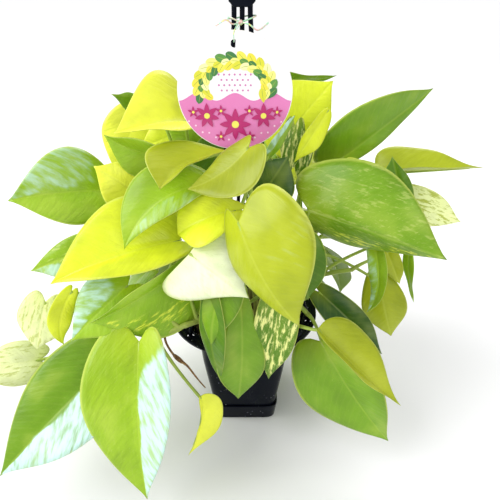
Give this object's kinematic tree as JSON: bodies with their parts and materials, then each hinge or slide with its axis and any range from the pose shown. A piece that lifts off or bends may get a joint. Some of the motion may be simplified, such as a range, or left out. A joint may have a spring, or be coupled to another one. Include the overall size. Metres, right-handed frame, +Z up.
{
  "type": "potted hanging pothos",
  "caption": "Bushy trailing pothos in a square black plastic pot with a flared round rim, a drip tray, a three-strand plastic hanger with a hook, and a round card label.",
  "frame": {"origin": "centre of the drip tray's flat underside, on the surface it stands on", "axes": "+X towards the right of the picture, -Y towards the picture's camera (the label's printed side), +Z up"},
  "size_m": [0.475, 0.3269, 0.4807],
  "materials": {
    "black_plastic": "glossy",
    "potting_soil": "matte",
    "label_card": "satin",
    "label_tie": "satin",
    "dry_root": "matte",
    "lime_foliage": "satin",
    "green_foliage": "satin"
  },
  "bodies": {
    "root": {"drip_tray": "black_plastic", "pot": "black_plastic", "soil": "potting_soil", "hanger": "black_plastic", "label_card": "label_card", "label_tie": "label_tie", "dry_root": "dry_root", "vine_lime_upper_left": "lime_foliage", "vine_lime_front": "lime_foliage", "vine_lime_centre": "lime_foliage", "vine_lime_trailing_left": "lime_foliage", "vine_lime_low_right": "lime_foliage", "vine_lime_right": "lime_foliage", "vine_green_left": "green_foliage", "vine_green_upper_left": "green_foliage", "vine_green_trailing_left": "green_foliage", "vine_green_front": "green_foliage", "vine_green_low_right": "green_foliage", "vine_green_right": "green_foliage", "vine_green_trailing_right": "green_foliage", "vine_green_centre": "green_foliage", "vine_back_1": "green_foliage", "vine_back_2": "lime_foliage", "vine_back_3": "green_foliage", "vine_back_4": "lime_foliage", "vine_back_5": "green_foliage"}
  },
  "joints": []
}
